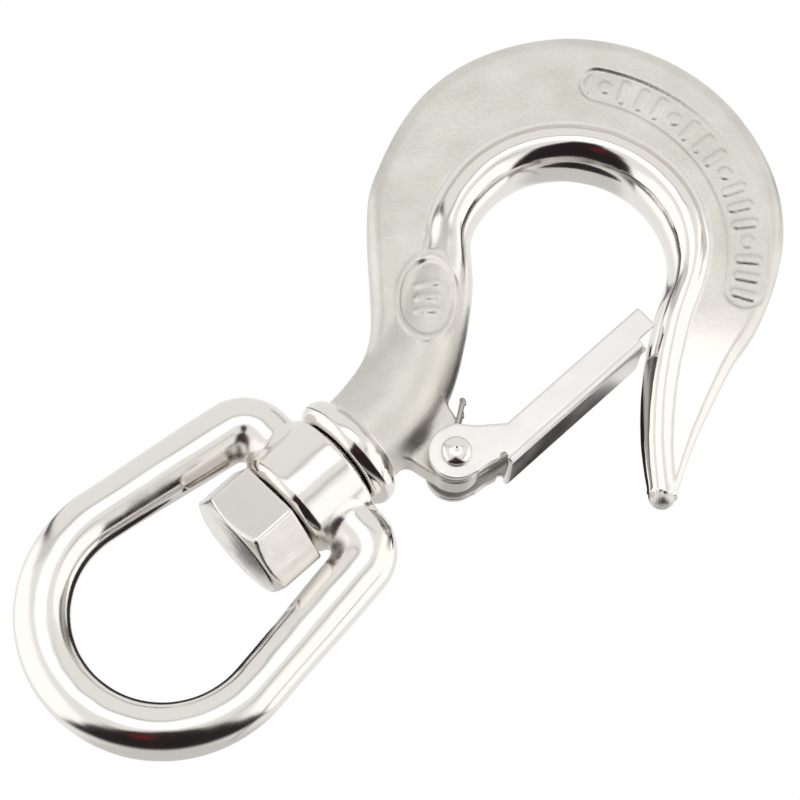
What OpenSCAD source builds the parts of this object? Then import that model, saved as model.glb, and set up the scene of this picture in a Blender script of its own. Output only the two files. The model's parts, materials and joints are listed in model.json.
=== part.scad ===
// Swivel hook: a forged eye turns on a bolt screwed into a cast hook, and a
// sprung latch plate closes the throat of the hook.
// Units are mm. The bolt axis is Z, the eye is up (+Z), the hook lies in the XZ
// plane with its point toward -X. The origin is the load seat of the eye: the
// lowest point a shackle pin can reach inside the bow, on the bolt axis.

/* [Eye] */
// Diameter of the round bar the eye is forged from
bar_d = 10; // [8:0.5:13]
// Clear width inside the bow of the eye
eye_w = 32.6; // [26:0.2:42]
// Depth from the load seat to the face under the bolt head
eye_l = 43.2; // [36:0.2:56]
// How far each leg of the eye leans in toward the boss, degrees
leg_lean = 8; // [0:0.5:12]
// Outside diameter of the boss that carries the bolt
boss_d = 20.8; // [18:0.2:26]
// Height of the boss along the bolt
boss_h = 13.2; // [10:0.2:18]

/* [Swivel bolt] */
// Diameter of the plain journal that turns in the boss
journal_d = 12; // [10:0.5:14]
// Radial running clearance between journal and boss
run_gap = 0.05; // [0.02:0.01:0.1]
// Width across the flats of the hexagon head
head_af = 20.3; // [18:0.1:24]
// Height of the hexagon head
head_h = 9.8; // [7:0.1:12]
// End float between head, boss and collar, at each face
end_float = 0.5; // [0.3:0.05:1.2]

/* [Hook] */
// Radius of the bowl that the load sits in
bowl_r = 18.4; // [16:0.2:21]
// Full thickness of the rounded inner edge of the hook
bulb_t = 14.6; // [12:0.2:18]
// Full thickness of the flat outer web of the hook
web_t = 10; // [8:0.2:13]
// Diameter of the collar under the boss
collar_d = 22; // [20:0.2:26]

/* [Latch] */
// Width of the folded latch channel over its two sides
latch_w = 13; // [11:0.2:16]
// Thickness of the latch sheet
sheet_t = 1.2; // [0.8:0.1:1.8]
// Length of the latch from rivet centre to its free end
latch_l = 43.3; // [38:0.1:48]
// Diameter of the rivet shank
rivet_d = 3.6; // [3:0.1:5]
// Diameter of the spring wire
wire_d = 1; // [0.7:0.05:1.3]

/* [Preview] */
// Which piece to show

/* [Hidden] */
$fn = 96;

// eye, worked out from its bar and opening
bar_r = bar_d / 2;
bow_r = eye_w / 2 + bar_r;
bow_z = bar_r - bow_r;
shoulder_r = bar_r + 0.6;
boss_top = -eye_l;
boss_bottom = boss_top - boss_h;
shoulder_z = boss_bottom + shoulder_r + 0.4;
leg_x = bow_r * cos(leg_lean);
leg_z = bow_z - bow_r * sin(leg_lean);
shoulder_x = leg_x - (leg_z - shoulder_z) * tan(leg_lean);
leg_l = (leg_z - shoulder_z) / cos(leg_lean);
boss_round = 2.4;
core_l = 4;
bore_d = journal_d + 2 * run_gap;

// hook datum: the collar face under the boss
collar_z = boss_bottom - end_float;
collar_h = 5.6;
collar_round = 2.7;
plan_bowl_r = 18.4;
hook_k = bowl_r / plan_bowl_r;
bulb_k = bulb_t / 14.6;
web_share = web_t / bulb_t;
thread_d = journal_d;
thread_depth = 22;
bore_tip = thread_d / 2 * tan(31);
pin_d = 3;
pin_drop = 8.6;
pin_z = collar_z - pin_drop;

// latch, pivoted on a lug cast on the neck of the hook
pivot_x = -14.4;
pivot_z = collar_z - 15.3;
lug_r = 4.7;
lug_t = 5.2;
ear_r = 5;
rivet_r = rivet_d / 2;
hole_r = rivet_r + 0.06;
web_x = -22.5;
flange_d = 5.9;
fold_r = 1.5;
web_top = pivot_z - 5.8;
latch_end = pivot_z - latch_l;
web_end = latch_end + 4.2;
rivet_head_r = 2.75;
rivet_head_h = 1.5;
coil_r = rivet_r + 0.6 + wire_d / 2;
coil_pitch = 0.94 * wire_d;

// A hook section is [inner x, inner z, outer x, outer z, half thickness, shape].
// z is measured down from the collar face; shape 0 is an oval, shape 1 has a
// rounded bulb on the inner side and a flat web behind it.

// The bowl and the crown are two arcs, and a section joins them at one angle
bowl_at = [-0.5, -57.5];
crown_at = [4, -64];
crown_r = 38.5;
arc_from = 32;
arc_to = -162;
arc_parts = 8;
bulb_half = 7.3;
// the bulb thins toward the point from this angle on
thin_from = -110;
thin_by = 1.1;
flat_lost = 0.4;

// The shank, the guide sections that bend the neck into the bowl, the guides
// that draw the point out, and the blunt nose that closes it
shank = [-8.5, -3, 8.5, -3, 8.6, 0];
neck_guides = [[-8.5, -10, 9, -10, 8.4, 0],
               [-8.5, -24, 9, -24, 7.9, 0],
               [7.5, -42, 31.5, -31.5, 7.3, 1]];
neck_parts = 5;
point_guides = [[-27.5, -46.5, -37.5, -54.5, 4.4, 0],
                [-42, -36, -46.3, -39.5, 2.5, 0]];
point_parts = 5;
nose = [-44.5, -35.5, -46, -37, 0.9, 0];

function thinning(a) = max(0, (thin_from - a) / (thin_from - arc_to));
function arc_section(a) =
    let (way = [cos(a), sin(a)],
         inner = bowl_at + plan_bowl_r * way,
         outer = crown_at + crown_r * way)
    [inner[0], inner[1], outer[0], outer[1],
     bulb_half - thin_by * thinning(a), 1 - flat_lost * thinning(a)];
function neck_section(t) =
    let (s = 1 - t)
    s * s * s * neck_guides[0] + 3 * s * s * t * neck_guides[1]
    + 3 * s * t * t * neck_guides[2] + t * t * t * arc_section(arc_from);
function point_section(t) =
    let (s = 1 - t)
    s * s * arc_section(arc_to) + 2 * s * t * point_guides[0] + t * t * point_guides[1];
sections = concat(
    [shank],
    [for (k = [0 : neck_parts - 1]) neck_section(k / neck_parts)],
    [for (k = [0 : arc_parts]) arc_section(arc_from + (arc_to - arc_from) * k / arc_parts)],
    [for (k = [1 : point_parts]) point_section(k / point_parts)],
    [nose]);
last = len(sections) - 1;
steps = 3;
side_points = 10;

// Row of the section table at a fractional position, eased between rows
function row(i) = sections[max(0, min(last, i))];
function ease(a, b, c, d, t) =
    0.5 * (2 * b + (c - a) * t + (2 * a - 5 * b + 4 * c - d) * t * t
    + (3 * b - a - 3 * c + d) * t * t * t);
function row_at(u) =
    let (i = min(last - 1, floor(u)), t = u - i)
    ease(row(i - 1), row(i), row(i + 1), row(i + 2), t);

// Half outline of the oval and of the bulb-and-web shape, point j of the side,
// as [fraction of depth from the inner edge, fraction of half thickness]
bulb_side = [[0, 0], [0.035, 0.5], [0.11, 0.84], [0.2, 0.99], [0.27, 0.97],
             [0.34, web_share + 0.12], [0.42, web_share + 0.01], [0.65, web_share],
             [0.93, web_share - 0.03], [0.985, 0.38], [1, 0]];
function oval_side(j) = [(1 - cos(180 * j / side_points)) / 2, sin(180 * j / side_points)];
function side_point(j, shape) = oval_side(j) * (1 - shape) + bulb_side[j] * shape;

// Ring of points for one section, inner edge first, then round the outer edge
function ring(r) =
    let (inner = [r[0], r[1]] * hook_k, outer = [r[2], r[3]] * hook_k)
    [for (j = [0 : 2 * side_points - 1])
        let (up = j <= side_points,
             s = side_point(up ? j : 2 * side_points - j, r[5]),
             p = inner + (outer - inner) * s[0])
        [p[0], (up ? 1 : -1) * s[1] * r[4] * bulb_k, collar_z + p[1]]];

// One round bar of the eye from the bow tangent down to the shoulder
module eye_side(side) {
    translate([side * leg_x, 0, leg_z])
    rotate([0, side * leg_lean, 0]) {
        translate([0, 0, -leg_l])
        cylinder(h = leg_l, r1 = shoulder_r, r2 = bar_r);
        translate([0, 0, -core_l / 2])
        cylinder(h = core_l, r = bar_r - 1);
    }
    translate([side * shoulder_x, 0, shoulder_z])
    sphere(r = shoulder_r);
    translate([0, 0, shoulder_z])
    rotate([0, side * 90, 0])
    cylinder(h = shoulder_x, r = shoulder_r);
}

// Forged eye: half-round bow, two leaning legs and the bored boss between them
module swivel_eye() {
    color("silver")
    difference() {
        union() {
            translate([0, 0, bow_z])
            rotate([90, 0, 0])
            rotate([0, 0, -leg_lean])
            rotate_extrude(angle = 180 + 2 * leg_lean)
            translate([bow_r, 0])
            circle(r = bar_r);
            eye_side(1);
            eye_side(-1);
            translate([0, 0, boss_bottom])
            rotate_extrude()
            boss_profile();
        }
        translate([0, 0, boss_bottom - 1])
        cylinder(h = boss_h + 2, d = bore_d);
    }
}

// Half section of the boss with its rounded upper rim
module boss_profile() {
    square([boss_d / 2 - boss_round, boss_h]);
    square([boss_d / 2, boss_h - boss_round]);
    translate([boss_d / 2 - boss_round, boss_h - boss_round])
    circle(r = boss_round);
}

// Bolt: chamfered hexagon head, plain journal and the shank screwed into the neck
module swivel_bolt() {
    head_z = boss_top + end_float;
    corner_r = head_af / sqrt(3);
    face_r = head_af / 2 * 0.94;
    chamfer_h = (corner_r - face_r) * tan(30);
    color("lightgray")
    union() {
        intersection() {
            translate([0, 0, head_z])
            rotate([0, 0, 10])
            cylinder(h = head_h, r = corner_r, $fn = 6);
            union() {
                translate([0, 0, head_z - 1])
                cylinder(h = head_h + 1 - chamfer_h, r = corner_r + 1);
                translate([0, 0, head_z + head_h - chamfer_h - 0.001])
                cylinder(h = chamfer_h + 0.001, r1 = corner_r, r2 = face_r);
            }
        }
        translate([0, 0, collar_z])
        cylinder(h = head_z - collar_z + 0.5, d = journal_d);
        difference() {
            translate([0, 0, collar_z - thread_depth])
            cylinder(h = thread_depth + 0.5, d = thread_d);
            translate([-journal_d, 0, pin_z])
            rotate([0, 90, 0])
            cylinder(h = 2 * journal_d, d = pin_d);
        }
    }
}

// Cross pin driven through neck and bolt so the thread cannot back out
module lock_pin() {
    color("gray")
    translate([0, 0, pin_z])
    rotate([0, 90, 0])
    cylinder(h = 2 * pin_half(), d = pin_d, center = true);
}
function pin_half() = 8.3;

// Cast hook: collar, tapering body swept through the section table, latch lug
module hook_body() {
    count = last * steps;
    n = 2 * side_points;
    rings = [for (k = [0 : count]) ring(row_at(k / steps))];
    points = [for (r = rings) each r];
    walls = [for (k = [0 : count - 1]) for (j = [0 : n - 1]) each [
        [k * n + j, (k + 1) * n + j, k * n + (j + 1) % n],
        [k * n + (j + 1) % n, (k + 1) * n + j, (k + 1) * n + (j + 1) % n]]];
    caps = [[for (j = [0 : n - 1]) j], [for (j = [0 : n - 1]) count * n + n - 1 - j]];
    color("silver")
    difference() {
        union() {
            translate([0, 0, collar_z - collar_h])
            rotate_extrude()
            collar_profile();
            polyhedron(points = points, faces = concat(walls, caps));
            lug();
        }
        translate([0, 0, collar_z - thread_depth])
        cylinder(h = thread_depth + 1, d = thread_d);
        translate([0, 0, collar_z - thread_depth - bore_tip])
        cylinder(h = bore_tip + 0.001, r1 = 0, d2 = thread_d);
        translate([-20, 0, pin_z])
        rotate([0, 90, 0])
        cylinder(h = 40, d = pin_d);
        translate([pivot_x, 0, pivot_z])
        rotate([90, 0, 0])
        cylinder(h = lug_t + 2, r = rivet_r, center = true);
    }
}

// Half section of the collar with both rims rounded
module collar_profile() {
    square([collar_d / 2 - collar_round, collar_h]);
    translate([0, collar_round])
    square([collar_d / 2, collar_h - 2 * collar_round]);
    translate([collar_d / 2 - collar_round, collar_round])
    circle(r = collar_round);
    translate([collar_d / 2 - collar_round, collar_h - collar_round])
    circle(r = collar_round);
}

// Lug on the point side of the neck that carries the latch rivet
module lug() {
    translate([pivot_x, 0, pivot_z])
    rotate([90, 0, 0])
    cylinder(h = lug_t, r = lug_r, center = true);
    rotate([90, 0, 0])
    linear_extrude(height = lug_t, center = true)
    polygon([[pivot_x - 1.4, pivot_z + lug_r - 0.3], [-4, pivot_z + 8.2],
             [-2, pivot_z - 10], [pivot_x + 0.4, pivot_z - lug_r + 0.05]]);
}

// Latch: folded channel with two pierced ears that straddle the lug
module latch_plate() {
    inner_y = latch_w / 2 - sheet_t;
    color("gainsboro")
    difference() {
        union() {
            translate([0, 0, web_end])
            linear_extrude(height = web_top - web_end)
            channel();
            for (side = [-1, 1])
                translate([0, side * (latch_w / 2 - sheet_t / 2), 0])
                rotate([90, 0, 0])
                linear_extrude(height = sheet_t, center = true)
                cheek();
        }
        translate([pivot_x, 0, pivot_z])
        rotate([90, 0, 0])
        cylinder(h = latch_w + 2, r = hole_r, center = true);
    }
}

// Cross section of the channel: web on the outer side, sides folded inward
module channel() {
    difference() {
        channel_shape(latch_w / 2, web_x, fold_r);
        channel_shape(latch_w / 2 - sheet_t, web_x + sheet_t, fold_r - sheet_t);
        translate([web_x + flange_d, -latch_w])
        square([20, 2 * latch_w]);
    }
}

// Filled channel outline with round corners on its closed side
module channel_shape(half, x, r) {
    translate([x + r, -half])
    square([flange_d + 2, 2 * half]);
    translate([x, -half + r])
    square([flange_d, 2 * half - 2 * r]);
    for (side = [-1, 1])
        translate([x + r, side * (half - r)])
        circle(r = r);
}

// Side of the latch: round ear, sloped neck and straight flange
module cheek() {
    translate([pivot_x, pivot_z])
    circle(r = ear_r);
    polygon([[pivot_x + 3.95, pivot_z - 3.0], [pivot_x + 1.6, pivot_z - 5.6],
             [web_x + flange_d - 0.6, pivot_z - 11.2],
             [web_x + flange_d, pivot_z - 13],
             [web_x + flange_d, latch_end],
             [web_x + fold_r + 0.4, latch_end],
             [web_x + fold_r, latch_end + 1.5],
             [web_x + fold_r, web_top],
             [pivot_x - 6.2, web_top + 0.3],
             [pivot_x - 4.9, pivot_z - 0.6]]);
}

// Rivet: plain shank through ears and lug, a domed head on each side
module latch_rivet() {
    head_y = latch_w / 2 + 0.1;
    dome_r = (rivet_head_r * rivet_head_r + rivet_head_h * rivet_head_h) / (2 * rivet_head_h);
    color("white")
    translate([pivot_x, 0, pivot_z])
    rotate([90, 0, 0])
    union() {
        cylinder(h = 2 * head_y + 0.6, r = rivet_r, center = true);
        for (side = [0, 180])
            rotate([side, 0, 0])
            translate([0, 0, head_y])
            intersection() {
                cylinder(h = rivet_head_h + 1, r = rivet_head_r);
                translate([0, 0, rivet_head_h - dome_r])
                sphere(r = dome_r);
            }
    }
}

// Straight length of spring wire between two points
module wire(a, b) {
    d = b - a;
    run = norm(d);
    translate(a)
    rotate([0, acos(d[2] / run), atan2(d[1], d[0])])
    cylinder(h = run, d = wire_d * 0.96);
}

// Tight bend in the spring wire
module bend(p) {
    translate(p)
    sphere(d = wire_d);
}

// Two close turns of the spring about the rivet
module coil() {
    rotate([90, 0, 0])
    rotate_extrude()
    translate([coil_r, 0])
    for (turn = [-1, 1])
        translate([0, turn * coil_pitch / 2])
        circle(d = wire_d);
}

// Spring: a coil each side of the lug, a loop on the neck, two legs on the latch
module latch_spring() {
    coil_y = lug_t / 2 + 0.2 + wire_d / 2 + coil_pitch / 2;
    loop_start = [pivot_x + coil_r * cos(35), pivot_z - coil_r * sin(35)];
    loop_end = [-7.1, pivot_z - 8.7];
    leg_start = [pivot_x - coil_r, pivot_z];
    leg_end = [web_x + sheet_t + 0.35 + wire_d / 2, pivot_z - 19];
    inner_y = coil_y - coil_pitch / 2;
    outer_y = coil_y + coil_pitch / 2;
    color("darkgray")
    union() {
        for (side = [-1, 1]) {
            translate([pivot_x, side * coil_y, pivot_z])
            coil();
            wire([loop_start[0], side * inner_y, loop_start[1]],
                 [loop_end[0], side * inner_y, loop_end[1]]);
            bend([loop_end[0], side * inner_y, loop_end[1]]);
            wire([leg_start[0], side * outer_y, leg_start[1]],
                 [leg_end[0], side * outer_y, leg_end[1]]);
        }
        wire([loop_end[0], -inner_y, loop_end[1]], [loop_end[0], inner_y, loop_end[1]]);
    }
}

swivel_eye();
swivel_bolt();
lock_pin();
hook_body();
latch_plate();
latch_rivet();
latch_spring();
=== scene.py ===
# Swivel eye hook in stainless steel: a forged eye turns on a bolt that is screwed
# into a cast hook, and a sprung latch plate closes the throat of the hook.
import json
import math

import bpy
import numpy as np
from mathutils import Matrix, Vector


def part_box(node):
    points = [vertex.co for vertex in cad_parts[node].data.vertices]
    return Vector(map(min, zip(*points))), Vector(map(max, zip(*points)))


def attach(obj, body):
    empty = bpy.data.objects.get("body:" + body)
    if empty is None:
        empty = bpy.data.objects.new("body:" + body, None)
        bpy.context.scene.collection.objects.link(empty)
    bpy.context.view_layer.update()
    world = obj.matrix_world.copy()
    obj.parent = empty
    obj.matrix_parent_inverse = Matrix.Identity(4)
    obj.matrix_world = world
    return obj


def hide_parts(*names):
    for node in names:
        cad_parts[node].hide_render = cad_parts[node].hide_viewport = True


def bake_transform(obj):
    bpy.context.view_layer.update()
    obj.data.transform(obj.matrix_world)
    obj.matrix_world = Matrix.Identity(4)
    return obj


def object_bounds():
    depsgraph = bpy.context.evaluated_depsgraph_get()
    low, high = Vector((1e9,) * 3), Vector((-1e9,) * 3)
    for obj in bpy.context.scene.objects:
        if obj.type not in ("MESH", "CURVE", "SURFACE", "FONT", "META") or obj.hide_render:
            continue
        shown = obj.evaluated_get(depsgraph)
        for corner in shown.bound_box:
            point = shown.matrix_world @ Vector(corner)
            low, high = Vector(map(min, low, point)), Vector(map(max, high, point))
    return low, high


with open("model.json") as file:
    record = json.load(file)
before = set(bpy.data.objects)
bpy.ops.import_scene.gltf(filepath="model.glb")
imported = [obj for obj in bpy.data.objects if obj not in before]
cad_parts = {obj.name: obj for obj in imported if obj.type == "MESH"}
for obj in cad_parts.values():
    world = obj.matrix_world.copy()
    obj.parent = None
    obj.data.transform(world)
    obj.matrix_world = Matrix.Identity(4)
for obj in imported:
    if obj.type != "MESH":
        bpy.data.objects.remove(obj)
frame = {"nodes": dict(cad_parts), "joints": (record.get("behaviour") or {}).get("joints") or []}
cad_size = [[float(v) for v in corner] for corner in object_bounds()]
joint = {j["name"]: j for j in frame["joints"]}


# ---------------------------------------------------------------- hook body
# The hook is one investment casting in 304 stainless steel. A round collar and
# neck run into a thick inner bulb backed by a flat web, drawn out to a blunt point.
# The bulb, collar and point are polished, the web keeps its fine cast skin.

MM = 0.001
collar_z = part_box("hook_body")[1][2] / MM
collar_r = 11.0
collar_h = 5.6
pivot_x = joint["latch_pivot"]["pos_m"][0] / MM
pivot_z = joint["latch_pivot"]["pos_m"][2] / MM
lug_r = 4.7
lug_half = 2.6
tip_r = 2.45

# A section is: inner x, inner z, outer x, outer z, half thickness of the bulb, of the web, width of
# the bulb, with z down from the collar face. The bowl and the crown are two arcs.
bowl_at = np.array([-0.5, -57.5])
bowl_r = 18.4
crown_at = np.array([4.0, -64.0])
# 0.2 mm inside the frame's crown, so that the ground skin stays within its box
crown_r = 38.3
arc_from, arc_to, thin_from = 32.0, -162.0, -110.0
full_section = np.array([7.3, 5.1, 9.4])
lost_at_point = np.array([1.1, 0.6, 2.4])
shank = np.array([-8.5, -3.0, 8.5, -3.0, 8.6, 4.0, 17.2])
neck_guides = np.array([
    [-8.5, -10.0, 9.0, -10.0, 8.4, 4.5, 17.8],
    [-8.5, -24.0, 9.0, -24.0, 7.9, 6.0, 19.0],
    [7.5, -42.0, 31.5, -31.5, 7.3, 5.6, 11.5],
])
point_guides = np.array([
    [-27.5, -46.5, -37.5, -54.5, 4.4, 3.4, 6.3],
    [-41.8, -36.8, -45.8, -39.8, 2.5, 1.7, 5.0],
])


def arc_section(degrees):
    """A section across the bowl, from the inner arc to the outer one at one angle."""
    way = np.array([math.cos(math.radians(degrees)), math.sin(math.radians(degrees))])
    thinning = max(0.0, (thin_from - degrees) / (thin_from - arc_to))
    return np.concatenate([bowl_at + bowl_r * way, crown_at + crown_r * way,
                           full_section - thinning * lost_at_point])


def neck_section(t):
    """A section of the neck, bent from the shank into the bowl."""
    s = 1 - t
    return (s**3 * neck_guides[0] + 3 * s * s * t * neck_guides[1] + 3 * s * t * t * neck_guides[2]
            + t**3 * arc_section(arc_from))


def point_section(t):
    """A section of the point, drawn out from the end of the bowl."""
    s = 1 - t
    return s * s * arc_section(arc_to) + 2 * s * t * point_guides[0] + t * t * point_guides[1]


rows = np.array([shank]
                + [neck_section(k / 5) for k in range(5)]
                + [arc_section(arc_from + (arc_to - arc_from) * k / 8) for k in range(9)]
                + [point_section(k / 5) for k in range(1, 6)])
rows[:, [1, 3]] += collar_z
last_row = len(rows) - 1


def bend_of(table):
    """Second derivatives that make a smooth curve through every row of a table."""
    count = len(table)
    left = np.eye(count)
    right = np.zeros_like(table)
    for i in range(1, count - 1):
        left[i, i - 1:i + 2] = (1, 4, 1)
        right[i] = 6 * (table[i - 1] - 2 * table[i] + table[i + 1])
    return np.linalg.solve(left, right)


row_bend = bend_of(rows)


def section_at(u):
    """The section at position u along the hook, eased between the rows."""
    i = np.clip(np.floor(u).astype(int), 0, last_row - 1)
    t = (u - i)[:, None]
    s = 1 - t
    return s * rows[i] + t * rows[i + 1] + ((s**3 - s) * row_bend[i] + (t**3 - t) * row_bend[i + 1]) / 6


def off_plane(section, x, z):
    """How far a point lies beside a section, and its depth from the inner edge."""
    dx = section[:, 2] - section[:, 0]
    dz = section[:, 3] - section[:, 1]
    depth = np.hypot(dx, dz)
    px = x - section[:, 0]
    pz = z - section[:, 1]
    return (dx * pz - dz * px) / depth, (dx * px + dz * pz) / depth, depth


def search_section(x, z):
    """Slow search over all sections: position along the hook, and whether a section reaches the point."""
    tries = np.linspace(0, last_row, 12 * last_row + 1)
    table = section_at(tries)
    dx = table[:, 2] - table[:, 0]
    dz = table[:, 3] - table[:, 1]
    depth = np.hypot(dx, dz)
    px = x[:, None] - table[None, :, 0]
    pz = z[:, None] - table[None, :, 1]
    beside = (dx * pz - dz * px) / depth
    along = (dx * px + dz * pz) / depth**2
    share = np.where(beside[:, 1:] * beside[:, :-1] <= 0, np.abs(along[:, 1:] - 0.5), 9.0)
    best = share.argmin(axis=1)
    pick = np.arange(len(best))
    b0, b1 = beside[pick, best], beside[pick, best + 1]
    part = np.where(b0 == b1, 0.5, b0 / np.where(b0 == b1, 1, b0 - b1))
    return tries[best] + part * (tries[1] - tries[0]), share[pick, best] < 1.1


# the search is done once on a half millimetre map, and each point then starts from there
map_x = np.arange(-52.0, 50.0, 0.5)
map_z = np.arange(collar_z - 108.0, collar_z + 4.0, 0.5)
map_rows = [search_section(np.full_like(map_z, x), map_z) for x in map_x]
map_u = np.array([row[0] for row in map_rows])
map_found = np.array([row[1] for row in map_rows])


def find_section(x, z):
    """For each point: position along the hook, depth from the inner edge, section, found or not."""
    i = np.clip(np.rint((x - map_x[0]) / 0.5).astype(int), 0, len(map_x) - 1)
    k = np.clip(np.rint((z - map_z[0]) / 0.5).astype(int), 0, len(map_z) - 1)
    u = map_u[i, k]
    step = 0.01
    for _ in range(3):
        here = off_plane(section_at(u), x, z)[0]
        there = off_plane(section_at(u + step), x, z)[0]
        slope = np.where(np.abs(there - here) < 1e-9, 1e-9, there - here) / step
        u = np.clip(u - np.clip(here / slope, -0.1, 0.1), 0, last_row)
    section = section_at(u)
    return u, off_plane(section, x, z)[1], section, map_found[i, k]


def soft_min(a, b, blend):
    """Union of two distances with a fillet about blend wide."""
    h = np.maximum(blend - np.abs(a - b), 0) / blend
    return np.minimum(a, b) - h * h * blend / 4


def soft_max(a, b, blend):
    """Overlap of two distances with its edge rounded."""
    return -soft_min(-a, -b, blend)


def rounded_box(px, py, half_x, half_y, corner):
    """Distance to a flat rectangle with round corners."""
    qx = np.abs(px) - (half_x - corner)
    qy = np.abs(py) - (half_y - corner)
    return np.hypot(np.maximum(qx, 0), np.maximum(qy, 0)) + np.minimum(np.maximum(qx, qy), 0) - corner


def smooth_step(v):
    v = np.clip(v, 0, 1)
    return v * v * (3 - 2 * v)


def hand_ground(x, y, z, size, depth):
    """Slow waviness left by grinding by hand, size long and depth high."""
    k = 2 * math.pi / size
    return depth * (np.sin(k * (0.9 * x + 0.5 * z) + 1.3) * np.sin(k * (0.8 * z - 0.4 * x) + 0.4)
                    + 0.6 * np.sin(k * (1.7 * x - 0.9 * z + 0.8 * y) + 2.1))


# the sunken curved panel and oval are cast into the front face of the web
strip_x, strip_z, strip_r = 1.0, collar_z - 58.1, 33.6
strip_from, strip_to = math.radians(-152), math.radians(-48.5)
oval_x, oval_z = 10.6, collar_z - 31.8
oval_turn = math.radians(-43.5)
oval_long, oval_short = 7.6, 4.7
sunk_depth = 0.5
mark_rise = 0.34


def strip_distance(x, z):
    """Distance to the outline of the curved panel, with the angle and radius about its centre."""
    angle = np.arctan2(z - strip_z, x - strip_x)
    radius = np.hypot(x - strip_x, z - strip_z)
    share = np.clip((angle - strip_from) / (strip_to - strip_from), 0, 1)
    half = 3.9 - 0.5 * share
    lean = 1.0 * share - 0.4
    held = np.clip(angle, strip_from + 0.1, strip_to - 0.1)
    mid = strip_r + lean
    away = np.hypot(x - strip_x - mid * np.cos(held), z - strip_z - mid * np.sin(held))
    return away - half, angle, radius - mid


def front_marks(x, z):
    """How deep the front face is sunk: panels down, plain raised bars and pips up."""
    edge, angle, out = strip_distance(x, z)
    sunk = sunk_depth * smooth_step(0.5 - edge / 0.5)
    pitch = math.radians(6.1)
    cell = np.round((angle - strip_from) / pitch - 0.6)
    along = (angle - strip_from - (cell + 0.6) * pitch) * strip_r
    bar = rounded_box(along, out, 0.85, 2.45, 0.8)
    pip = np.hypot(along, out) - 1.25
    mark = np.where(cell % 4 == 3, pip, bar)
    mark = np.maximum(mark, edge + 1.0)
    sunk = sunk - mark_rise * smooth_step(0.5 - mark / 0.5)
    c, s = math.cos(oval_turn), math.sin(oval_turn)
    ox = (x - oval_x) * c + (z - oval_z) * s
    oz = (z - oval_z) * c - (x - oval_x) * s
    ring = (np.hypot(ox / oval_long, oz / oval_short) - 1) * oval_short
    sunk = sunk + 0.4 * smooth_step(0.5 - ring / 0.6) - 0.3 * smooth_step(1 - np.abs(ring - 0.55) / 0.75)
    for shift in (-2.2, 0.0, 2.2):
        rib = rounded_box(ox - shift * 1.25, oz, 0.6, 2.3, 0.55)
        sunk = sunk - 0.28 * smooth_step(0.5 - rib / 0.5)
    return sunk


def hook_distance(x, y, z):
    """Signed distance in mm to the finished casting."""
    fx, fz = np.broadcast_arrays(x, z)
    u, depth_in, section, found = find_section(fx.ravel(), fz.ravel())
    shape = fx.shape
    a = depth_in.reshape(shape)
    bulb_half, web_half, bulb_w = (section[:, k].reshape(shape) for k in (4, 5, 6))
    depth = np.hypot(section[:, 2] - section[:, 0], section[:, 3] - section[:, 1]).reshape(shape)
    bulb_w = np.minimum(bulb_w, depth)
    ex, ey = (a - bulb_w / 2), y
    near = np.hypot(ex / (bulb_w / 2), ey / bulb_half)
    steep = np.hypot(ex / (bulb_w / 2)**2, ey / bulb_half**2)
    bulb = near * (near - 1) / np.maximum(steep, 1e-6)
    web_from = 0.45 * bulb_w
    web = rounded_box(a - (web_from + depth) / 2, y, (depth - web_from) / 2, web_half, 0.62 * web_half)
    body = soft_min(bulb, web, 0.9)
    body = np.where(found.reshape(shape), body, 20.0)
    end = section_at(np.array([float(last_row)]))[0]
    tip = np.sqrt((x - (end[0] + end[2]) / 2)**2 + y**2 + (z - (end[1] + end[3]) / 2)**2) - tip_r
    body = soft_min(body, tip, 0.8)
    # lug: a round-ended cheek that grows out of the neck
    lug_x, lug_z = -4.0, pivot_z + 0.4
    run_x, run_z = lug_x - pivot_x, lug_z - pivot_z
    share = np.clip(((x - pivot_x) * run_x + (z - pivot_z) * run_z) / (run_x**2 + run_z**2), 0, 1)
    flat = np.hypot(x - pivot_x - share * run_x, z - pivot_z - share * run_z) - (lug_r + 2.2 * share)
    lug = rounded_box(np.maximum(flat + 3, 0) , y, 3.0, lug_half, 0.45)
    body = soft_min(body, lug, 1.6)
    # collar: a turned bead between neck and boss
    bead = rounded_box(np.hypot(x, y), z - (collar_z - collar_h / 2), collar_r, collar_h / 2, 2.7)
    body = soft_min(body, bead, 0.5)
    body = body + np.where(y < -1.0, front_marks(x, z), 0.0) * np.where(z < collar_z - 12, 1.0, 0.0)
    return body + hand_ground(x, y, z, 9.0, 0.016)


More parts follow.
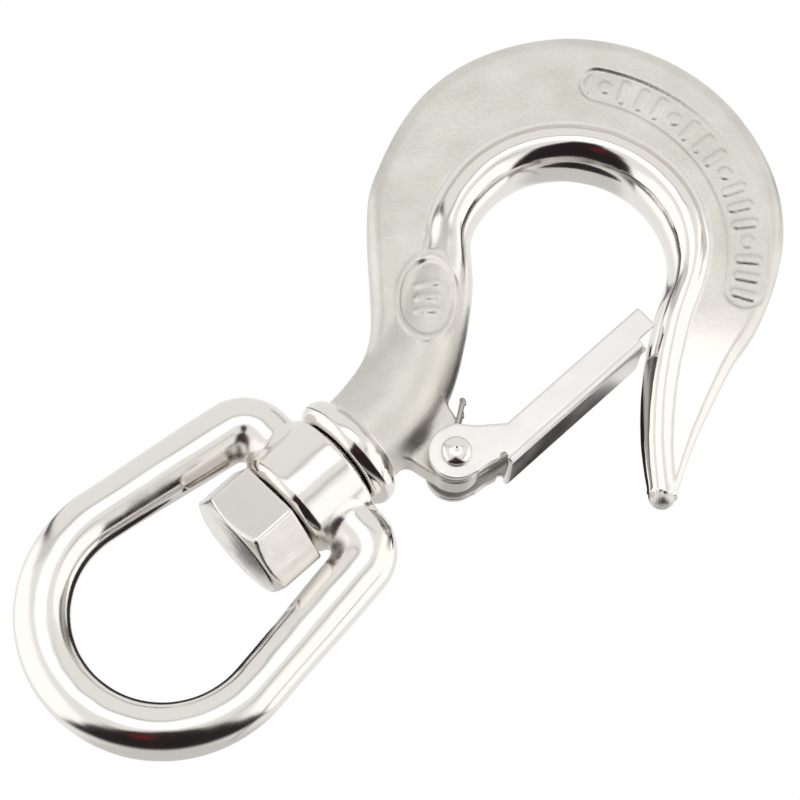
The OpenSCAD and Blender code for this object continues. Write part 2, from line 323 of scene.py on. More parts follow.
def skin_of(name, distance, low, high, cell):
    """Even quad skin over the zero surface of a distance, in mm, with every point on the surface."""
    lines = [np.arange(low[i], high[i] + cell, cell) for i in range(3)]
    value = distance(lines[0][:, None, None], lines[1][None, :, None], lines[2][None, None, :])
    inside = value < 0
    cells = tuple(n - 1 for n in value.shape)
    crossings = np.zeros(cells)
    place = np.zeros(cells + (3,))
    faces = []
    edges = []
    for axis in range(3):
        low_side = [slice(None)] * 3
        high_side = [slice(None)] * 3
        low_side[axis] = slice(0, -1)
        high_side[axis] = slice(1, None)
        v0, v1 = value[tuple(low_side)], value[tuple(high_side)]
        cut = inside[tuple(low_side)] != inside[tuple(high_side)]
        where_cut = np.where(cut, v0 / np.where(cut, v0 - v1, 1), 0)
        b, c = (axis + 1) % 3, (axis + 2) % 3
        for db in (0, 1):
            for dc in (0, 1):
                pick = [slice(None)] * 3
                pick[b] = slice(db, db + cells[b])
                pick[c] = slice(dc, dc + cells[c])
                hit = cut[tuple(pick)]
                crossings += hit
                place[..., axis] += where_cut[tuple(pick)]
                place[..., b] += db * hit
                place[..., c] += dc * hit
        edges.append((axis, b, c, cut, inside[tuple(low_side)]))
    used = crossings > 0
    number = np.full(cells, -1)
    number[used] = np.arange(used.sum())
    points = (place[used] / crossings[used][:, None] + np.argwhere(used)) * cell + np.array([l[0]
                                                                                             for l in lines])
    for axis, b, c, cut, from_inside in edges:
        at = np.argwhere(cut)
        at = at[(at[:, b] > 0) & (at[:, c] > 0) & (at[:, b] < value.shape[b] - 1)
                & (at[:, c] < value.shape[c] - 1)]
        outward = from_inside[tuple(at.T)]
        corner = []
        for db, dc in ((-1, -1), (0, -1), (0, 0), (-1, 0)):
            near = at.copy()
            near[:, b] += db
            near[:, c] += dc
            corner.append(number[tuple(near.T)])
        quad = np.stack(corner, axis=1)
        faces.append(np.where(outward[:, None], quad, quad[:, ::-1]))
    faces = np.concatenate(faces)
    size = len(points)
    pairs = np.concatenate([faces[:, [0, 1]], faces[:, [1, 2]], faces[:, [2, 3]], faces[:, [3, 0]]])
    links = np.bincount(pairs[:, 0], minlength=size) + np.bincount(pairs[:, 1], minlength=size)
    small = 0.01
    for round_ in range(3):
        if round_:
            middle = np.stack([np.bincount(pairs[:, 0], points[pairs[:, 1], k], size)
                               + np.bincount(pairs[:, 1], points[pairs[:, 0], k],
                                             size) for k in range(3)], axis=1)
            points = 0.5 * points + 0.5 * middle / links[:, None]
        for _ in range(2):
            here = distance(*points.T)
            slope = np.stack([(distance(*(points + small * np.eye(3)[k]).T) - here) / small
                              for k in range(3)], axis=1)
            step = here[:, None] * slope / np.maximum((slope**2).sum(axis=1), 0.05)[:, None]
            points = points - np.clip(step, -cell / 2, cell / 2)
    mesh = bpy.data.meshes.new(name)
    mesh.from_pydata((points * MM).tolist(), [], faces.tolist())
    mesh.update()
    mesh.polygons.foreach_set("use_smooth", np.ones(len(faces), bool))
    piece = bpy.data.objects.new(name, mesh)
    bpy.context.scene.collection.objects.link(piece)
    return piece, points


cell_hook = 0.36
hook_low = [v / MM - 1.2 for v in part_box("hook_body")[0]]
hook_high = [v / MM + 1.2 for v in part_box("hook_body")[1]]
hook, hook_points = skin_of("hook_casting", hook_distance, hook_low, hook_high, cell_hook)

# share of polish at each point: full on bulb, collar and point, little on the web
hx, hy, hz = hook_points.T
u, depth_in, section, found = find_section(hx.copy(), hz.copy())
on_bulb = smooth_step((section[:, 6] * 0.98 - depth_in) / 0.9 + 0.5) * smooth_step((u - 3.2) / 2.2)
near_point = smooth_step((u - 13.4) / 2.2) * 0.75
on_collar = smooth_step((hz - (collar_z - 6.3)) / 0.8)
oval_along = (hx - oval_x) * math.cos(oval_turn) + (hz - oval_z) * math.sin(oval_turn)
oval_aside = (hz - oval_z) * math.cos(oval_turn) - (hx - oval_x) * math.sin(oval_turn)
oval_away = np.hypot(oval_along, oval_aside * oval_long / oval_short)
in_oval = np.where(hy < 0, smooth_step((oval_long + 1.6 - oval_away) / 1.5), 0)
polish = np.clip(np.maximum(np.maximum(on_bulb, near_point), on_collar), 0, 1) * (1 - 0.85 * in_oval)
store = hook.data.attributes.new("polish", "FLOAT", "POINT")
store.data.foreach_set("value", polish.astype(np.float32))
panel_edge = strip_distance(hx, hz)[0]
sunk = np.where(hy < 0, smooth_step(0.5 - panel_edge / 0.6), 0)
store = hook.data.attributes.new("sunk", "FLOAT", "POINT")
store.data.foreach_set("value", sunk.astype(np.float32))


def linear(colour):
    """sRGB hex to the linear colour that a shader takes."""
    parts = [int(colour[i:i + 2], 16) / 255 for i in (1, 3, 5)]
    return [v / 12.92 if v <= 0.04045 else ((v + 0.055) / 1.055)**2.4 for v in parts] + [1.0]


def add_node(tree, kind, settings=None, links=None):
    """Adds one node, sets its values, and links (socket: (node, output)) into it."""
    node = tree.nodes.new(kind)
    for key, value in (settings or {}).items():
        if hasattr(node, str(key)):
            setattr(node, key, value)
        else:
            node.inputs[key].default_value = value
    for key, (source, output) in (links or {}).items():
        tree.links.new(source.outputs[output], node.inputs[key])
    return node


def new_metal(name, colour):
    """Empty metal material: its node tree, shader and object coordinates."""
    material = bpy.data.materials.new(name)
    material.use_nodes = True
    tree = material.node_tree
    tree.nodes.clear()
    out = tree.nodes.new("ShaderNodeOutputMaterial")
    shader = add_node(tree, "ShaderNodeBsdfPrincipled", {"Metallic": 1.0, "Base Color": linear(colour)})
    tree.links.new(shader.outputs["BSDF"], out.inputs["Surface"])
    place = add_node(tree, "ShaderNodeTexCoord")
    return material, tree, shader, place


# cast 304 stainless, shot blasted then polished where a load runs: a soft grey web
# with a fine sandy skin, going over to a bright, slightly wavy mirror on the bulb
cast_steel, tree, shader, place = new_metal("cast_stainless", "#dcdad6")
share = add_node(tree, "ShaderNodeAttribute", {"attribute_name": "polish"})
floor = add_node(tree, "ShaderNodeAttribute", {"attribute_name": "sunk"})
sand = add_node(tree, "ShaderNodeTexNoise", {"Scale": 1 / (0.9 * MM), "Detail": 5.0, "Roughness": 0.72},
                {"Vector": (place, "Object")})
cloud = add_node(tree, "ShaderNodeTexNoise", {"Scale": 1 / (7 * MM), "Detail": 3.0},
                 {"Vector": (place, "Object")})
gloss = add_node(tree, "ShaderNodeMapRange",
                 {"From Min": 0.0, "From Max": 1.0, "To Min": 0.33, "To Max": 0.10},
                 {"Value": (share, "Fac")})
patchy = add_node(tree, "ShaderNodeMath", {"operation": "MULTIPLY_ADD", 1: 0.12, 2: -0.06},
                  {0: (cloud, "Fac")})
rough = add_node(tree, "ShaderNodeMath", {"operation": "ADD", "use_clamp": True},
                 {0: (gloss, "Result"), 1: (patchy, "Value")})
tree.links.new(rough.outputs["Value"], shader.inputs["Roughness"])
coarse_skin = add_node(tree, "ShaderNodeMapRange",
                       {"From Min": 0.0, "From Max": 1.0, "To Min": 1.0, "To Max": 0.05},
                       {"Value": (share, "Fac")})
extra = add_node(tree, "ShaderNodeMath", {"operation": "MULTIPLY_ADD", 1: 0.25},
                 {0: (floor, "Fac"), 2: (coarse_skin, "Result")})
bump = add_node(tree, "ShaderNodeBump", {"Distance": 0.10 * MM},
                {"Height": (sand, "Fac"), "Strength": (extra, "Value")})
tree.links.new(bump.outputs["Normal"], shader.inputs["Normal"])
tint = add_node(tree, "ShaderNodeMixRGB", {"Color1": linear("#c8c6bf"), "Color2": linear("#e9e7e1")},
                {"Fac": (cloud, "Fac")})
bright = add_node(tree, "ShaderNodeMixRGB", {"Color2": linear("#ece9e5")},
                  {"Fac": (share, "Fac"), "Color1": (tint, "Color")})
tree.links.new(bright.outputs["Color"], shader.inputs["Base Color"])

hook.data.materials.append(cast_steel)
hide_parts("hook_body")
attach(hook, "hook")


# ---------------------------------------------------------------- swivel eye
# The eye is drop forged from round bar and polished all over. The bow, the two
# leaning legs and the bored boss are one piece, with soft creases at the boss.

eye_box = [[v / MM for v in corner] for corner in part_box("swivel_eye")]
bar_r = 5.0
bow_r = eye_box[1][0] - bar_r
bow_z = bar_r - bow_r
lean = math.radians(8)
boss_bottom = eye_box[0][2]
boss_h = 13.2
boss_r = eye_box[1][1]
bore_r = 6.05
shoulder_r = 5.45
shoulder_z = boss_bottom + shoulder_r + 0.25
elbow_r = 4.6


def stretch(px, pz, ax, az, bx, bz):
    """Distance in the plane of the eye to the straight line from a to b."""
    run_x, run_z = bx - ax, bz - az
    share = np.clip(((px - ax) * run_x + (pz - az) * run_z) / (run_x**2 + run_z**2), 0, 1)
    return np.hypot(px - ax - share * run_x, pz - az - share * run_z)


leg_top = (bow_r * math.cos(lean), bow_z - bow_r * math.sin(lean))
corner_x = leg_top[0] - (leg_top[1] - shoulder_z) * math.tan(lean)
tangent = elbow_r * math.tan((math.pi / 2 - lean) / 2)
leg_foot = (corner_x + tangent * math.sin(lean), shoulder_z + tangent * math.cos(lean))
elbow_x, elbow_z = corner_x - tangent, shoulder_z + elbow_r


def eye_distance(x, y, z):
    side = np.abs(x)
    from_top = np.arctan2(side, z - bow_z)
    bow = np.where(from_top <= math.pi / 2 + lean, np.abs(np.hypot(side, z - bow_z) - bow_r), 99.0)
    leg = stretch(side, z, *leg_top, *leg_foot)
    vx, vz = side - elbow_x, z - elbow_z
    in_bend = (-vx * math.sin(lean) - vz * math.cos(lean) >= 0) & (vx >= 0)
    bend = np.where(in_bend, np.abs(np.hypot(vx, vz) - elbow_r), 99.0)
    cross = stretch(side, z, elbow_x, shoulder_z, 0.0, shoulder_z)
    inner_corner = soft_min(np.hypot(leg, y), np.hypot(cross, y), 1.8)
    thick = bar_r + (shoulder_r - bar_r) * smooth_step((bow_z - z - 4) / 24)
    bar = np.minimum(np.minimum(np.hypot(bow, y), np.hypot(bend, y)), inner_corner) - thick
    around = np.hypot(x, y)
    middle = boss_bottom + boss_h / 2
    rim = np.where(z > middle, 2.4, 0.7)
    boss = rounded_box(around, z - middle, boss_r, boss_h / 2, rim)
    body = soft_min(bar, boss, 1.3) + hand_ground(x, y, z, 8.0, 0.010)
    bore = np.where(z < boss_bottom + boss_h + 4, bore_r - around, -9.0)
    return soft_max(body, bore, 0.25)


cell_eye = 0.4
eye, eye_points = skin_of("forged_eye", eye_distance, [v - 1.2 for v in eye_box[0]],
                          [v + 1.2 for v in eye_box[1]], cell_eye)

# mirror-polished forged stainless: bright with slow ripples from the wheel, a few
# hair-fine scratches and some small pits where the forging skin was deep
polished_steel, tree, shader, place = new_metal("polished_forged_stainless", "#ece9e5")
ripple = add_node(tree, "ShaderNodeTexNoise", {"Scale": 1 / (2.6 * MM), "Detail": 2.0},
                  {"Vector": (place, "Object")})
fine = add_node(tree, "ShaderNodeTexNoise", {"Scale": 1 / (0.7 * MM), "Detail": 4.0, "Roughness": 0.6},
                {"Vector": (place, "Object")})
cloud = add_node(tree, "ShaderNodeTexNoise", {"Scale": 1 / (9 * MM), "Detail": 4.0},
                 {"Vector": (place, "Object")})
rough = add_node(tree, "ShaderNodeMapRange", {"From Min": 0.3, "From Max": 0.7, "To Min": 0.09,
                                              "To Max": 0.20}, {"Value": (cloud, "Fac")})
corner = add_node(tree, "ShaderNodeAttribute", {"attribute_name": "rough_corner"})
dull = add_node(tree, "ShaderNodeMath", {"operation": "MULTIPLY_ADD", 1: 0.26},
                {0: (corner, "Fac"), 2: (rough, "Result")})
tree.links.new(dull.outputs["Value"], shader.inputs["Roughness"])
shallow = add_node(tree, "ShaderNodeBump", {"Distance": 0.05 * MM, "Strength": 0.12},
                   {"Height": (ripple, "Fac")})
deep = add_node(tree, "ShaderNodeBump", {"Distance": 0.04 * MM, "Strength": 0.10},
                {"Height": (fine, "Fac"), "Normal": (shallow, "Normal")})
tree.links.new(deep.outputs["Normal"], shader.inputs["Normal"])

# the wheel does not reach the inner corners beside the boss, so they stay rough
ex, ey, ez = eye_points.T
corner_away = np.sqrt((np.abs(ex) - boss_r - 0.6)**2 + (ey * 0.8)**2 + (ez - shoulder_z - shoulder_r)**2)
store = eye.data.attributes.new("rough_corner", "FLOAT", "POINT")
store.data.foreach_set("value", smooth_step((6.5 - corner_away) / 5.0).astype(np.float32))

eye.data.materials.append(polished_steel)
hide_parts("swivel_eye")
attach(eye, "eye")


# ---------------------------------------------------------------- swivel bolt
# A turned bolt with a heavy chamfered hexagon head. Its plain journal runs in the
# boss and its threaded end is screwed into the neck and pinned.

bolt_box = [[v / MM for v in corner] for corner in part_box("swivel_bolt")]
head_top = bolt_box[1][2]
head_h = 9.8
head_half = 10.15
head_turn = math.radians(10)
face_r = head_half * 0.94
journal_r = 6.0


def bolt_distance(x, y, z):
    around = np.hypot(x, y)
    flats = np.full(np.broadcast(x, y).shape, -99.0)
    for k in range(6):
        turn = head_turn + math.pi / 6 + k * math.pi / 3
        flats = soft_max(flats, x * math.cos(turn) + y * math.sin(turn) - head_half, 0.35)
    chamfer = (around - face_r) * math.sin(math.radians(30)) + (z - head_top) * math.cos(math.radians(30))
    head = soft_max(flats, np.abs(z - head_top + head_h / 2) - head_h / 2, 0.3)
    head = soft_max(head, chamfer, 0.3)
    shank = np.maximum(around - journal_r, np.maximum(z - (head_top - 1), bolt_box[0][2] + 0.02 - z))
    return np.minimum(head, shank) + 0 * (x + y + z)


cell_bolt = 0.34
bolt, _ = skin_of("hex_bolt", bolt_distance, [v - 1.0 for v in bolt_box[0]],
                            [v + 1.0 for v in bolt_box[1]], cell_bolt)

# tumbled turned stainless: grey satin flats with faint cross-hatched hairlines
satin_steel, tree, shader, place = new_metal("tumbled_stainless", "#e8e5e0")
stretch_map = add_node(tree, "ShaderNodeMapping", {"Scale": (1.0, 1.0, 0.12)}, {"Vector": (place, "Object")})
hair = add_node(tree, "ShaderNodeTexNoise", {"Scale": 1 / (0.5 * MM), "Detail": 6.0, "Roughness": 0.7},
                {"Vector": (stretch_map, "Vector")})
cloud = add_node(tree, "ShaderNodeTexNoise", {"Scale": 1 / (4 * MM), "Detail": 3.0},
                 {"Vector": (place, "Object")})
rough = add_node(tree, "ShaderNodeMapRange", {"From Min": 0.3, "From Max": 0.7, "To Min": 0.13,
                                              "To Max": 0.26}, {"Value": (cloud, "Fac")})
tree.links.new(rough.outputs["Result"], shader.inputs["Roughness"])
bump = add_node(tree, "ShaderNodeBump", {"Distance": 0.05 * MM, "Strength": 0.5}, {"Height": (hair, "Fac")})
tree.links.new(bump.outputs["Normal"], shader.inputs["Normal"])

bolt.data.materials.append(satin_steel)
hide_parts("swivel_bolt")
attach(bolt, "hook")

# the cross pin stays as it is, ground flush with the neck
frame["nodes"]["lock_pin"].data.materials.clear()
frame["nodes"]["lock_pin"].data.materials.append(satin_steel)


# ---------------------------------------------------------------- latch plate
# The latch is blanked from 1.2 mm stainless sheet and folded to a channel. Two
# pierced ears straddle the lug, and the free end closes on the inside of the point.

latch_box = [[v / MM for v in corner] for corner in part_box("latch_plate")]
web_x = latch_box[0][0]
latch_half = latch_box[1][1]
latch_end = latch_box[0][2]
sheet_t = 1.2
flange_d = 5.9
fold_r = 1.5
web_top = pivot_z - 5.8
web_end = latch_end + 4.2
ear_r = 5.0


def outline_distance(px, pz, corners):
    """Distance to a flat outline given by its corners, negative inside."""
    nearest = np.full(np.broadcast(px, pz).shape, 1e9)
    inside = np.zeros(nearest.shape, bool)
    for (ax, az), (bx, bz) in zip(corners, corners[1:] + corners[:1]):
        nearest = np.minimum(nearest, stretch(px, pz, ax, az, bx, bz))
        crosses = (az > pz) != (bz > pz)
        reach = ax + (pz - az) * (bx - ax) / (bz - az if bz != az else 1e-9)
        inside ^= crosses & (px < reach)
    return np.where(inside, -nearest, nearest)


cheek = [(pivot_x + 3.9, pivot_z - 3.1), (pivot_x + 1.6, pivot_z - 5.6),
         (web_x + flange_d - 0.6, pivot_z - 11.2), (web_x + flange_d, pivot_z - 13.0),
         (web_x + flange_d, latch_end), (web_x + fold_r, latch_end),
         (web_x + fold_r, web_top), (pivot_x - 6.2, web_top + 0.3), (pivot_x - 4.9, pivot_z - 0.6)]


def latch_distance(x, y, z):
    side = np.abs(y)
    flat = outline_distance(x, z, cheek)
    ear = np.hypot(x - pivot_x, z - pivot_z) - ear_r
    blank = soft_min(flat, ear, 1.5)
    blank = np.maximum(blank, 1.85 - np.hypot(x - pivot_x, z - pivot_z))
    plate = soft_max(blank, np.abs(side - latch_half + sheet_t / 2) - sheet_t / 2, 0.25)
    outer = rounded_box(x - (web_x + 20), y, 20, latch_half, fold_r)
    wall = np.abs(outer + sheet_t / 2) - sheet_t / 2
    span = np.maximum(np.where(x < web_x + fold_r + 0.1, web_end, latch_end) - z, z - web_top)
    channel = soft_max(soft_max(wall, span, 0.25), x - (web_x + flange_d), 0.25)
    relief = 0.7 - np.hypot(x - (web_x + 1.75), z - (web_top + 0.2))
    return soft_max(np.minimum(plate, channel), relief, 0.15)


cell_latch = 0.27
latch, _ = skin_of("latch_channel", latch_distance, [v - 0.8 for v in latch_box[0]],
                              [v + 0.8 for v in latch_box[1]], cell_latch)

# bead-blasted sheet steel: even pale satin with a very fine grain and rolling lines
sheet_steel, tree, shader, place = new_metal("satin_sheet_stainless", "#e6e4e2")
stretch_map = add_node(tree, "ShaderNodeMapping", {"Scale": (1.0, 1.0, 0.06)}, {"Vector": (place, "Object")})
grain = add_node(tree, "ShaderNodeTexNoise", {"Scale": 1 / (0.35 * MM), "Detail": 4.0},
                 {"Vector": (stretch_map, "Vector")})
cloud = add_node(tree, "ShaderNodeTexNoise", {"Scale": 1 / (5 * MM), "Detail": 3.0},
                 {"Vector": (place, "Object")})
rough = add_node(tree, "ShaderNodeMapRange", {"From Min": 0.3, "From Max": 0.7, "To Min": 0.26,
                                              "To Max": 0.36}, {"Value": (cloud, "Fac")})
tree.links.new(rough.outputs["Result"], shader.inputs["Roughness"])
bump = add_node(tree, "ShaderNodeBump", {"Distance": 0.04 * MM, "Strength": 0.2}, {"Height": (grain, "Fac")})
tree.links.new(bump.outputs["Normal"], shader.inputs["Normal"])

latch.data.materials.append(sheet_steel)
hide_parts("latch_plate")
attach(latch, "latch")


# ---------------------------------------------------------------- latch rivet
# A stainless rivet set by spinning: a low domed head on each side with the small
# centre dimple of the tool, and a plain shank through ears and lug.

rivet_box = [[v / MM for v in corner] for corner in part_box("latch_rivet")]
head_r = (rivet_box[1][0] - rivet_box[0][0]) / 2
rivet_half = rivet_box[1][1]
under_head = latch_half + 0.1
dome = rivet_half - under_head
shank_r = 1.8

# half of the turned profile, from the dimple out over the dome and in to the shank
profile = [(0.0, -0.32), (0.16, -0.28), (0.32, -0.12), (0.48, -0.02), (0.62, 0.0)]
for k in range(1, 13):
    turn = math.radians(14 + 76 * k / 12)
    profile.append((head_r * math.sin(turn), -dome * 0.82 * (1 - math.cos(turn))))
profile += [(head_r, -dome * 0.9), (head_r - 0.08, -dome), (shank_r, -dome)]
half_profile = [(r, rivet_half + h) for r, h in profile]
full_profile = half_profile + [(r, -h) for r, h in reversed(half_profile)]


def turned(name, outline, around):
    """Solid turned about an axis along Y through the pivot; outline holds (radius, y) from end to end."""
    points = []
    faces = []
    count = len(outline)
    for r, y in outline[1:-1]:
        for k in range(around):
            a = 2 * math.pi * k / around
            points.append(((pivot_x + r * math.cos(a)) * MM, y * MM, (pivot_z + r * math.sin(a)) * MM))
    for i in range(count - 3):
        for k in range(around):
            n = (k + 1) % around
            faces.append((i * around + k, i * around + n, (i + 1) * around + n, (i + 1) * around + k))
    first, last = len(points), len(points) + 1
    points.append((pivot_x * MM, outline[0][1] * MM, pivot_z * MM))
    points.append((pivot_x * MM, outline[-1][1] * MM, pivot_z * MM))
    for k in range(around):
        n = (k + 1) % around
        faces.append((first, n, k))
        faces.append((last, (count - 3) * around + k, (count - 3) * around + n))
    mesh = bpy.data.meshes.new(name)
    mesh.from_pydata(points, [], faces)
    mesh.polygons.foreach_set("use_smooth", [True] * len(faces))
    mesh.update()
    piece = bpy.data.objects.new(name, mesh)
    bpy.context.scene.collection.objects.link(piece)
    return piece


rivet = turned("domed_rivet", full_profile, 96)
rivet.data.materials.append(polished_steel)
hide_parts("latch_rivet")
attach(rivet, "hook")


# ---------------------------------------------------------------- latch spring
# One length of hard-drawn 1 mm spring wire: a leg behind the latch web, a coil
# round the rivet, a loop that bears on the neck, then the same mirrored.

wire_r = 0.48
coil_r = 2.9
coil_turns = 2
coil_inner = lug_half + 0.2 + wire_r


def wire_path():
    """Centre line of the spring from one leg end, through both coils, to the other."""
    loop = np.array([-7.1, pivot_z - 8.7])
    leg = np.array([web_x + sheet_t + 0.85, pivot_z - 19.0])
    loop_angle = math.radians(-35)
    leg_angle = math.radians(180)
    half = [(leg[0], coil_inner + 0.94, leg[1] - 0.5), (leg[0], coil_inner + 0.94, leg[1])]
    sweep = (loop_angle - leg_angle) - 2 * math.pi * (coil_turns - 1)
    for k in range(49):
        share = k / 48
        a = leg_angle + sweep * share
        half.append((pivot_x + coil_r * math.cos(a), coil_inner + 0.94 * (1 - share),
                     pivot_z + coil_r * math.sin(a)))
    half.append((loop[0] - 0.9, coil_inner, loop[1] + 1.0))
    for k in range(7):
        a = math.radians(90 * k / 6)
        half.append((loop[0] - 0.9 + 0.9 * math.sin(a), coil_inner - 1.0 + 1.0 * math.cos(a),
                     loop[1] + 0.5 - 0.5 * math.sin(a)))
    half.append((loop[0], 0.9, loop[1]))
    other = [(x, -y, z) for x, y, z in reversed(half)]
    return half + other


def wire_piece(name, path, radius, sides):
    """Round wire along a path, with each end closed."""
    path = np.array(path)
    ahead = np.gradient(path, axis=0)
    ahead /= np.linalg.norm(ahead, axis=1)[:, None]
    up = np.array([0.3, 0.2, 0.9])
    points = []
    for centre, way in zip(path, ahead):
        up = up - way * (up @ way)
        up /= np.linalg.norm(up)
        across = np.cross(way, up)
        for k in range(sides):
            a = 2 * math.pi * k / sides
            points.append((centre + radius * (math.cos(a) * up + math.sin(a) * across)) * MM)
    faces = []
    for i in range(len(path) - 1):
        for k in range(sides):
            n = (k + 1) % sides
            faces.append((i * sides + k, i * sides + n, (i + 1) * sides + n, (i + 1) * sides + k))
    faces.append(tuple(range(sides))[::-1])
    faces.append(tuple(range((len(path) - 1) * sides, len(path) * sides)))
    mesh = bpy.data.meshes.new(name)
    mesh.from_pydata([tuple(p) for p in points], [], faces)
    mesh.polygons.foreach_set("use_smooth", [True] * len(faces))
    mesh.update()
    piece = bpy.data.objects.new(name, mesh)
    bpy.context.scene.collection.objects.link(piece)
    return piece


spring = wire_piece("torsion_spring", wire_path(), wire_r, 16)

# drawn stainless spring wire: slightly darker, with fine lines along the wire
wire_steel, tree, shader, place = new_metal("drawn_spring_wire", "#b4b1ac")
grain = add_node(tree, "ShaderNodeTexNoise", {"Scale": 1 / (0.3 * MM), "Detail": 3.0},
                 {"Vector": (place, "Object")})
rough = add_node(tree, "ShaderNodeMapRange", {"From Min": 0.3, "From Max": 0.7, "To Min": 0.18,
                                              "To Max": 0.32}, {"Value": (grain, "Fac")})
tree.links.new(rough.outputs["Result"], shader.inputs["Roughness"])
bump = add_node(tree, "ShaderNodeBump", {"Distance": 0.02 * MM, "Strength": 0.2}, {"Height": (grain, "Fac")})
tree.links.new(bump.outputs["Normal"], shader.inputs["Normal"])

spring.data.materials.append(wire_steel)
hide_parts("latch_spring")
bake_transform(spring)


# ---------------------------------------------------------------- studio
# A white floor well below the hook and a pale room that gives all the light, with
# two dark cards of painted shade behind the openings. There are no lamps.

aim = np.array([1.1, 0.0, -73.4])
look = np.array([0.2416, 0.9327, -0.2677])
look /= np.linalg.norm(look)
reach = 442.0
roll = math.radians(-130.9)

camera_data = bpy.data.cameras.new("camera")
camera_data.lens = 110.4
camera_data.sensor_width = 36
camera_data.clip_start = 0.01
camera_data.clip_end = 50
camera = bpy.data.objects.new("camera", camera_data)
bpy.context.scene.collection.objects.link(camera)
bpy.context.scene.camera = camera
across = np.cross(look, (0, 0, 1))
across /= np.linalg.norm(across)
above = np.cross(across, look)
right = math.cos(roll) * across + math.sin(roll) * above
up = -math.sin(roll) * across + math.cos(roll) * above
eye_point = aim - reach * look
axes = np.stack([right, up, -look], axis=1)
placing = [[*axes[i].tolist(), float(eye_point[i] * MM)] for i in range(3)]
camera.matrix_world = Matrix([*placing, [0, 0, 0, 1]])

floor_mesh = bpy.data.meshes.new("floor")
floor_z = (cad_size[0][2] - 0.07)
floor_mesh.from_pydata([(-6, -6, floor_z), (6, -6, floor_z), (6, 6, floor_z), (-6, 6, floor_z)], [],
                       [(0, 1, 2, 3)])
floor_piece = bpy.data.objects.new("floor", floor_mesh)
bpy.context.scene.collection.objects.link(floor_piece)
paper = bpy.data.materials.new("white_paper")
paper.use_nodes = True
tree = paper.node_tree
tree.nodes.clear()
out = tree.nodes.new("ShaderNodeOutputMaterial")
glow = add_node(tree, "ShaderNodeEmission", {"Color": linear("#ffffff"), "Strength": 1.0})
tree.links.new(glow.outputs["Emission"], out.inputs["Surface"])
floor_mesh.materials.append(paper)
floor_piece.visible_glossy = False
floor_piece.visible_diffuse = False
floor_piece.visible_shadow = False

# The room as the steel sees it, in degrees right and up of the camera: white walls on
# both sides, a paler ceiling, a grey bench below, and a dark stand behind the camera.
room_light = 1.4
world = bpy.data.worlds.new("studio_room")
bpy.context.scene.world = world
world.use_nodes = True
tree = world.node_tree
tree.nodes.clear()
direction = add_node(tree, "ShaderNodeTexCoord")
blur = add_node(tree, "ShaderNodeTexNoise", {"Scale": 3.0, "Detail": 3.0},
                {"Vector": (direction, "Generated")})
dots = [add_node(tree, "ShaderNodeVectorMath", {"operation": "DOT_PRODUCT", 1: axis.tolist()},
                 {0: (direction, "Generated")})
        for axis in (right, up, -look)]
angle = add_node(tree, "ShaderNodeMath", {"operation": "ARCCOSINE"}, {0: (dots[2], "Value")})
degrees = add_node(tree, "ShaderNodeMath", {"operation": "MULTIPLY", 1: math.degrees(1)},
                   {0: (angle, "Value")})
sine = add_node(tree, "ShaderNodeMath", {"operation": "SINE"}, {0: (angle, "Value")})
safe = add_node(tree, "ShaderNodeMath", {"operation": "MAXIMUM", 1: 0.0001}, {0: (sine, "Value")})
spread = add_node(tree, "ShaderNodeMath", {"operation": "DIVIDE"},
                  {0: (degrees, "Value"), 1: (safe, "Value")})
sideways = add_node(tree, "ShaderNodeMath", {"operation": "MULTIPLY"},
                    {0: (dots[0], "Value"), 1: (spread, "Value")})
upwards = add_node(tree, "ShaderNodeMath", {"operation": "MULTIPLY"},
                   {0: (dots[1], "Value"), 1: (spread, "Value")})
plain = add_node(tree, "ShaderNodeCombineXYZ", {}, {"X": (sideways, "Value"), "Y": (upwards, "Value")})
shake = add_node(tree, "ShaderNodeVectorMath", {"operation": "MULTIPLY_ADD", 1: (9.0, 9.0, 0.0),
                                                2: (-4.5, -4.5, 0.0)}, {0: (blur, "Color")})
chart = add_node(tree, "ShaderNodeVectorMath", {"operation": "ADD"},
                 {0: (plain, "Vector"), 1: (shake, "Vector")})
wall_colour = [0.66, 0.65, 0.64, 1]
paint = None


def patch(paint, mask, output, colour):
    """Paints one colour over the room where the mask is white."""
    mix = add_node(tree, "ShaderNodeMixRGB", {"Color1": wall_colour, "Color2": [*colour, 1]},
                   {"Fac": (mask, output)})
    if paint:
        tree.links.new(paint.outputs[0], mix.inputs["Color1"])
    return mix


def oval(x, y, half_x, half_y, turn, soft):
    """Soft oval in degrees right and up of the camera."""
    move = add_node(tree, "ShaderNodeMapping",
                    {"vector_type": "TEXTURE", "Location": (x, y, 0), "Rotation": (0, 0, math.radians(turn)),
                     "Scale": (half_x, half_y, 1)}, {"Vector": (chart, "Vector")})
    far = add_node(tree, "ShaderNodeVectorMath", {"operation": "LENGTH"}, {0: (move, "Vector")})
    return add_node(tree, "ShaderNodeMapRange",
                    {"interpolation_type": "SMOOTHSTEP", "From Min": 1 + soft, "From Max": 1 - soft},
                    {"Value": (far, "Value")})


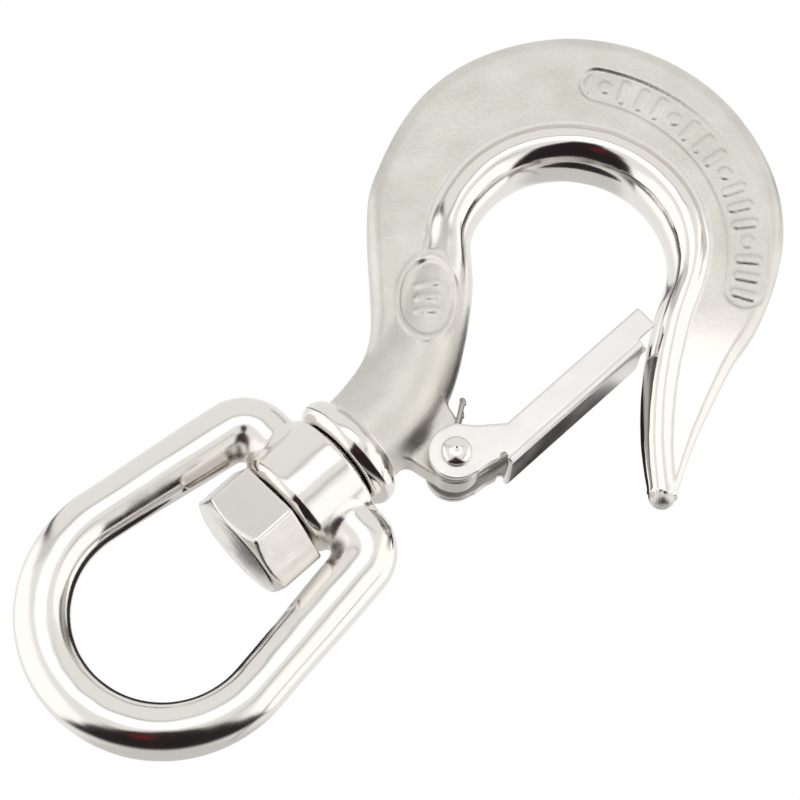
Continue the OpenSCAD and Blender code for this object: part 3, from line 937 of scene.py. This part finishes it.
for x, y, half_x, half_y, turn, soft, colour in [
        (0, 98, 85, 46, 0, 0.2, (0.64, 0.63, 0.62)),
        (0, -122, 80, 52, 0, 0.25, (0.46, 0.45, 0.44)),
        (82, -8, 42, 62, -10, 0.15, (0.88, 0.865, 0.855)),
        (-84, 2, 44, 66, 10, 0.15, (0.88, 0.865, 0.855)),
        (-6, 50, 44, 3.5, 0, 0.6, (0.44, 0.43, 0.425)),
        (2, 31, 24, 15, 0, 0.3, (1.0, 0.985, 0.975)),
        (-98, 78, 52, 5, -22, 0.6, (0.07, 0.07, 0.07)),
        (112, 48, 30, 9, 40, 0.6, (0.07, 0.07, 0.07)),
        (34, 6, 4, 16, -35, 0.6, (0.46, 0.45, 0.44)),
        (62, -66, 40, 3.5, 72, 0.6, (0.30, 0.30, 0.30)),
]:
    paint = patch(paint, oval(x, y, half_x, half_y, turn, soft), "Result", colour)

# the dark stand: narrow at the top, wide at the bench, with a dark red clamp on it
parts = add_node(tree, "ShaderNodeSeparateXYZ", {}, {"Vector": (chart, "Vector")})
off_side = add_node(tree, "ShaderNodeMath", {"operation": "ABSOLUTE"}, {0: (parts, "X")})
slant = add_node(tree, "ShaderNodeMath", {"operation": "ADD"}, {0: (parts, "Y"), 1: (off_side, "Value")})
body = add_node(tree, "ShaderNodeMapRange", {"interpolation_type": "SMOOTHSTEP", "From Min": 15.0,
                                             "From Max": 7.0}, {"Value": (slant, "Value")})
bench = add_node(tree, "ShaderNodeMapRange", {"interpolation_type": "SMOOTHSTEP", "From Min": -78.0,
                                              "From Max": -60.0}, {"Value": (parts, "Y")})
figure = add_node(tree, "ShaderNodeMath", {"operation": "MULTIPLY"},
                  {0: (body, "Result"), 1: (bench, "Result")})
paint = patch(paint, figure, "Value", (0.016, 0.012, 0.013))
paint = patch(paint, oval(-9, -18, 4, 9, -8, 0.8), "Result", (0.11, 0.008, 0.008))

seen = add_node(tree, "ShaderNodeLightPath")
paint = add_node(tree, "ShaderNodeMixRGB", {"Color2": [1 / room_light] * 3 + [1]},
                 {"Fac": (seen, "Is Camera Ray"), "Color1": (paint, 0)})
room = add_node(tree, "ShaderNodeBackground", {"Strength": room_light}, {"Color": (paint, 0)})
out = add_node(tree, "ShaderNodeOutputWorld", {}, {"Surface": (room, "Background")})


# painted shade: dark cards hang just behind the two openings in place of the shade
# that falls there, so the inner edges of the bright steel turn dark; the lens does not see them
shade_card_material = bpy.data.materials.new("painted_shade_card")
shade_card_material.use_nodes = True
tree = shade_card_material.node_tree
tree.nodes.clear()
# the dark grey of the cards is painted shade
shade_card_shader = add_node(tree, "ShaderNodeBsdfDiffuse", {"Color": linear("#3a3436")})
out = add_node(tree, "ShaderNodeOutputMaterial", {}, {"Surface": (shade_card_shader, "BSDF")})
shade_card_y = 14.0
bow_shade_outline = [(11.5 * math.cos(math.radians(a)), -18 + 12.5 * math.sin(math.radians(a)))
            for a in range(0, 360, 15)]
throat_shade_outline = [(-13, -85), (-5, -92), (0, -100), (2, -107), (-2, -112), (-9, -114), (-19, -114), (-26, -109),
               (-35, -99), (-38, -92), (-33, -84), (-24, -80)]
for name, outline in (("painted_shade_bow", bow_shade_outline), ("painted_shade_throat", throat_shade_outline)):
    mesh = bpy.data.meshes.new(name)
    mesh.from_pydata([(x * MM, shade_card_y * MM, z * MM) for x, z in outline], [], [tuple(range(len(outline)))])
    mesh.materials.append(shade_card_material)
    shade_card = bpy.data.objects.new(name, mesh)
    bpy.context.scene.collection.objects.link(shade_card)
    shade_card.visible_camera = False
    shade_card.visible_shadow = False

bpy.context.scene.view_settings.view_transform = "Standard"
